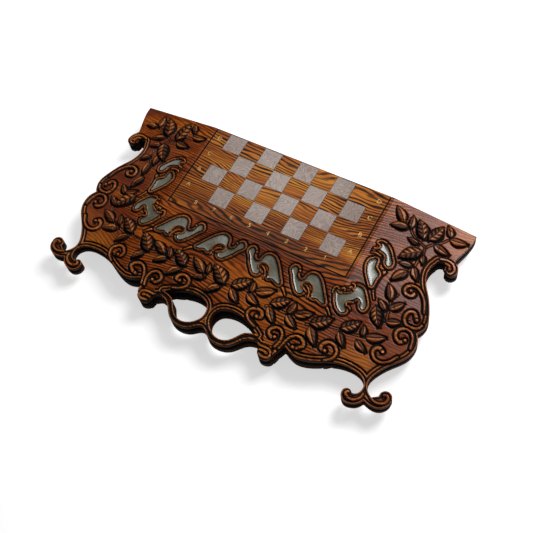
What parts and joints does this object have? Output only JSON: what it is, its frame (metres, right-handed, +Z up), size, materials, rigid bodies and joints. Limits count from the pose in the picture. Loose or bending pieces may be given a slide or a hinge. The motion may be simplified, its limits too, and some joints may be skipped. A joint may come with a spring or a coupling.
{
  "type": "folding chess and backgammon board",
  "caption": "Folded wooden game case with a scrolled carved outline, a chess field inlaid on its outside, resin windows, finger loops and a playing hollow inside.",
  "frame": {"origin": "middle of the folded case's bounding box, at the plane of the lower chess face it lies on", "axes": "+X along the hinge edge, +Y towards the hinge edge, handle loops towards -Y, +Z up through the folded case"},
  "size_m": [0.6004, 0.335, 0.0563],
  "materials": {
    "carved_wood": "gloss lacquer over stained, deeply carved wood",
    "pearl_tile": "polished pearly inlay",
    "resin_window": "polished pearly resin",
    "panel_wood": "satin lacquer",
    "light_wood": "satin lacquer",
    "dark_wood": "satin lacquer",
    "magnet": "nickel plated",
    "hinge_brass": "polished"
  },
  "bodies": {
    "lower_half": {"lower_carved_slab": "carved_wood", "lower_chess_tiles": "pearl_tile", "lower_front_inner_windows": "resin_window", "lower_front_outer_windows": "resin_window", "lower_corner_windows": "resin_window", "lower_side_lower_windows": "resin_window", "lower_side_upper_windows": "resin_window", "lower_play_panel": "panel_wood", "lower_light_points": "light_wood", "lower_dark_points": "dark_wood", "lower_magnets": "magnet", "lower_hinge_screws": "hinge_brass", "lower_left_hinge_leaf": "hinge_brass", "lower_right_hinge_leaf": "hinge_brass", "left_hinge_pin": "hinge_brass", "right_hinge_pin": "hinge_brass"},
    "upper_half": {"upper_carved_slab": "carved_wood", "upper_chess_tiles": "pearl_tile", "upper_front_inner_windows": "resin_window", "upper_front_outer_windows": "resin_window", "upper_corner_windows": "resin_window", "upper_side_lower_windows": "resin_window", "upper_side_upper_windows": "resin_window", "upper_play_panel": "panel_wood", "upper_light_points": "light_wood", "upper_dark_points": "dark_wood", "upper_magnets": "magnet", "upper_hinge_screws": "hinge_brass", "upper_left_hinge_leaf": "hinge_brass", "upper_right_hinge_leaf": "hinge_brass"}
  },
  "joints": [
    {"name": "case_fold", "type": "hinge", "parent": "lower_half", "child": "upper_half", "pos_m": [0, 0.16469, 0.02815], "axis": [-1, 0, 0], "range_deg": [0, 180]}
  ]
}
